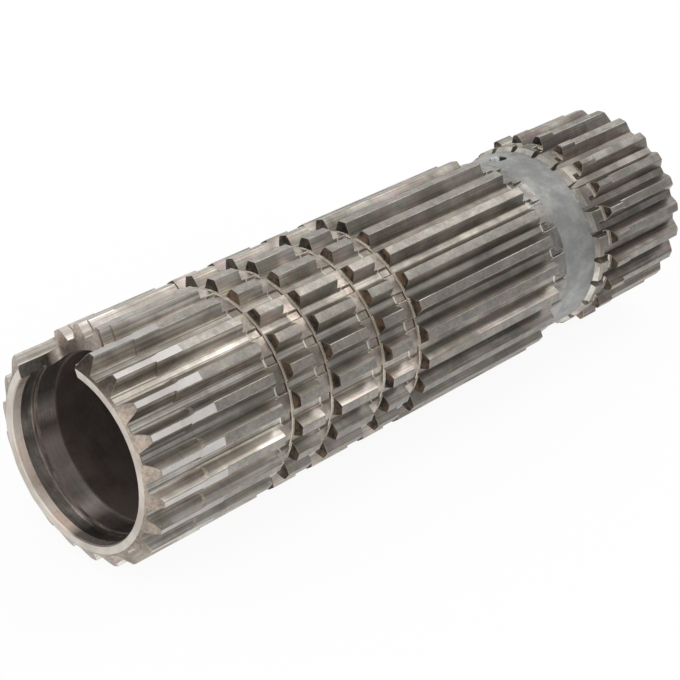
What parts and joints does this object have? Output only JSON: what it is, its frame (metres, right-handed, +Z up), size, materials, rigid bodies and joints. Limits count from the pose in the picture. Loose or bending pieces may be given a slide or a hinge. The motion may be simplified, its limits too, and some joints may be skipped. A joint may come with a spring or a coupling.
{
  "type": "splined main shaft",
  "caption": "Hollow splined main shaft with grooved tooth blocks, a smooth journal with an oil hole, and a separate rear spline.",
  "frame": {"origin": "on the shaft's axis, in the plane of the front face", "axes": "+X along the axis from the front face to the rear spline; +Z up as the shaft lies on two teeth, with a tooth space at the very top"},
  "size_m": [0.276, 0.0766, 0.0762],
  "materials": {
    "steel": "machined, worn grey-beige steel"
  },
  "bodies": {
    "root": {"main_shaft": "steel"}
  },
  "joints": []
}
